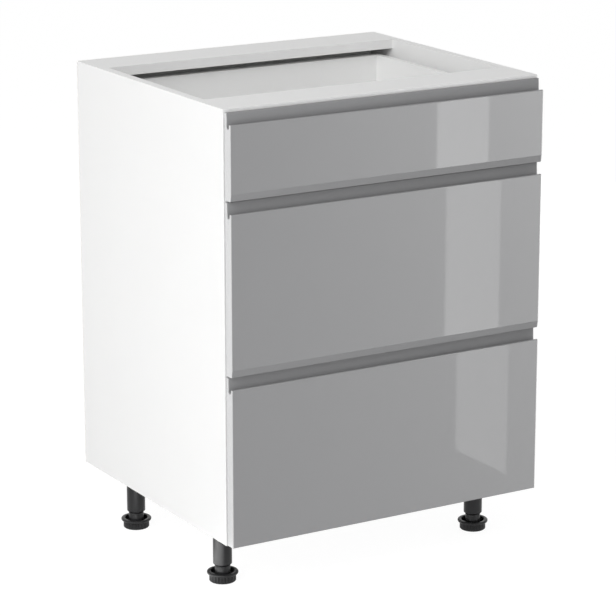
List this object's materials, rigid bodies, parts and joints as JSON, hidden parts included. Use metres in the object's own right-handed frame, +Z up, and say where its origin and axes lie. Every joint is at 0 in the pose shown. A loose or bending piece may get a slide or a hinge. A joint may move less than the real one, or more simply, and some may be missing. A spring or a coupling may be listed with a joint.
{
  "type": "drawer base cabinet",
  "caption": "Fitted kitchen base cabinet with one shallow and two deep drawers behind handleless gloss fronts, open top rails and screw-adjustable legs.",
  "frame": {"origin": "on the floor under the middle of the cabinet's width and overall depth", "axes": "+Z up, -Y towards the user (the fronts), +X to the user's right"},
  "size_m": [0.6, 0.53, 0.82],
  "materials": {
    "white_melamine": "smooth white melamine, satin",
    "white_hardboard": "hardboard, white lacquered inside, bare brown fibre outside",
    "white_edging": "white edging, satin",
    "light_edging": "light grey edging, satin",
    "grey_gloss": "high gloss grey lacquer on fibreboard",
    "zinc_steel": "zinc plated sheet steel",
    "bright_steel": "polished bearing steel",
    "zinc_screw": "zinc plated",
    "zinc_fitting": "die-cast zinc",
    "beech": "plain beech",
    "clear_silicone": "translucent silicone",
    "black_plastic": "moulded black plastic, satin"
  },
  "bodies": {
    "carcass": {"side_panel_left": "white_melamine", "side_panel_right": "white_melamine", "bottom_panel": "white_melamine", "top_front_rail": "white_melamine", "top_back_rail": "white_melamine", "back_panel": "white_hardboard", "carcass_edge_bands": "white_edging", "cam_discs": "zinc_fitting", "cam_bolts": "zinc_fitting", "carcass_dowels": "beech", "runner_screws": "zinc_screw", "leg_sockets": "black_plastic", "leg_socket_screws": "zinc_screw", "leg_tubes": "black_plastic", "top_runner_outer_members": "zinc_steel", "middle_runner_outer_members": "zinc_steel", "bottom_runner_outer_members": "zinc_steel"},
    "top_drawer": {"top_front": "grey_gloss", "top_front_edge_bands": "light_edging", "top_box_sides": "white_melamine", "top_box_front": "white_melamine", "top_box_back": "white_melamine", "top_box_bottom": "white_hardboard", "top_box_dowels": "beech", "top_drawer_screws": "zinc_screw", "top_bumpers": "clear_silicone", "top_runner_inner_members": "zinc_steel"},
    "top_middle_runners": {"top_runner_middle_members": "zinc_steel"},
    "top_outer_ball_cages": {"top_runner_outer_balls": "bright_steel"},
    "top_inner_ball_cages": {"top_runner_inner_balls": "bright_steel"},
    "middle_drawer": {"middle_front": "grey_gloss", "middle_front_edge_bands": "light_edging", "middle_box_sides": "white_melamine", "middle_box_front": "white_melamine", "middle_box_back": "white_melamine", "middle_box_bottom": "white_hardboard", "middle_box_dowels": "beech", "middle_drawer_screws": "zinc_screw", "middle_bumpers": "clear_silicone", "middle_runner_inner_members": "zinc_steel"},
    "middle_middle_runners": {"middle_runner_middle_members": "zinc_steel"},
    "middle_outer_ball_cages": {"middle_runner_outer_balls": "bright_steel"},
    "middle_inner_ball_cages": {"middle_runner_inner_balls": "bright_steel"},
    "bottom_drawer": {"bottom_front": "grey_gloss", "bottom_front_edge_bands": "light_edging", "bottom_box_sides": "white_melamine", "bottom_box_front": "white_melamine", "bottom_box_back": "white_melamine", "bottom_box_bottom": "white_hardboard", "bottom_box_dowels": "beech", "bottom_drawer_screws": "zinc_screw", "bottom_bumpers": "clear_silicone", "bottom_runner_inner_members": "zinc_steel"},
    "bottom_middle_runners": {"bottom_runner_middle_members": "zinc_steel"},
    "bottom_outer_ball_cages": {"bottom_runner_outer_balls": "bright_steel"},
    "bottom_inner_ball_cages": {"bottom_runner_inner_balls": "bright_steel"},
    "front_left_foot": {"front_left_foot": "black_plastic"},
    "front_right_foot": {"front_right_foot": "black_plastic"},
    "back_left_foot": {"back_left_foot": "black_plastic"},
    "back_right_foot": {"back_right_foot": "black_plastic"}
  },
  "joints": [
    {"name": "top_drawer_slide", "type": "slide", "parent": "carcass", "child": "top_drawer", "axis": [0, -1, 0], "range_m": [0, 0.45]},
    {"name": "top_middle_runners_slide", "type": "slide", "parent": "carcass", "child": "top_middle_runners", "axis": [0, -1, 0], "range_m": [0, 0.225]},
    {"name": "top_outer_ball_cages_slide", "type": "slide", "parent": "carcass", "child": "top_outer_ball_cages", "axis": [0, -1, 0], "range_m": [0, 0.1125]},
    {"name": "top_inner_ball_cages_slide", "type": "slide", "parent": "carcass", "child": "top_inner_ball_cages", "axis": [0, -1, 0], "range_m": [0, 0.3375]},
    {"name": "middle_drawer_slide", "type": "slide", "parent": "carcass", "child": "middle_drawer", "axis": [0, -1, 0], "range_m": [0, 0.45]},
    {"name": "middle_middle_runners_slide", "type": "slide", "parent": "carcass", "child": "middle_middle_runners", "axis": [0, -1, 0], "range_m": [0, 0.225]},
    {"name": "middle_outer_ball_cages_slide", "type": "slide", "parent": "carcass", "child": "middle_outer_ball_cages", "axis": [0, -1, 0], "range_m": [0, 0.1125]},
    {"name": "middle_inner_ball_cages_slide", "type": "slide", "parent": "carcass", "child": "middle_inner_ball_cages", "axis": [0, -1, 0], "range_m": [0, 0.3375]},
    {"name": "bottom_drawer_slide", "type": "slide", "parent": "carcass", "child": "bottom_drawer", "axis": [0, -1, 0], "range_m": [0, 0.45]},
    {"name": "bottom_middle_runners_slide", "type": "slide", "parent": "carcass", "child": "bottom_middle_runners", "axis": [0, -1, 0], "range_m": [0, 0.225]},
    {"name": "bottom_outer_ball_cages_slide", "type": "slide", "parent": "carcass", "child": "bottom_outer_ball_cages", "axis": [0, -1, 0], "range_m": [0, 0.1125]},
    {"name": "bottom_inner_ball_cages_slide", "type": "slide", "parent": "carcass", "child": "bottom_inner_ball_cages", "axis": [0, -1, 0], "range_m": [0, 0.3375]},
    {"name": "front_left_foot_slide", "type": "slide", "parent": "carcass", "child": "front_left_foot", "axis": [0, 0, -1], "range_m": [0, 0.02]},
    {"name": "front_right_foot_slide", "type": "slide", "parent": "carcass", "child": "front_right_foot", "axis": [0, 0, -1], "range_m": [0, 0.02]},
    {"name": "back_left_foot_slide", "type": "slide", "parent": "carcass", "child": "back_left_foot", "axis": [0, 0, -1], "range_m": [0, 0.02]},
    {"name": "back_right_foot_slide", "type": "slide", "parent": "carcass", "child": "back_right_foot", "axis": [0, 0, -1], "range_m": [0, 0.02]}
  ],
  "couplings": [
    {"joint": "top_middle_runners_slide", "follows": "top_drawer_slide", "ratio": 0.5},
    {"joint": "top_outer_ball_cages_slide", "follows": "top_drawer_slide", "ratio": 0.25},
    {"joint": "top_inner_ball_cages_slide", "follows": "top_drawer_slide", "ratio": 0.75},
    {"joint": "middle_middle_runners_slide", "follows": "middle_drawer_slide", "ratio": 0.5},
    {"joint": "middle_outer_ball_cages_slide", "follows": "middle_drawer_slide", "ratio": 0.25},
    {"joint": "middle_inner_ball_cages_slide", "follows": "middle_drawer_slide", "ratio": 0.75},
    {"joint": "bottom_middle_runners_slide", "follows": "bottom_drawer_slide", "ratio": 0.5},
    {"joint": "bottom_outer_ball_cages_slide", "follows": "bottom_drawer_slide", "ratio": 0.25},
    {"joint": "bottom_inner_ball_cages_slide", "follows": "bottom_drawer_slide", "ratio": 0.75}
  ]
}
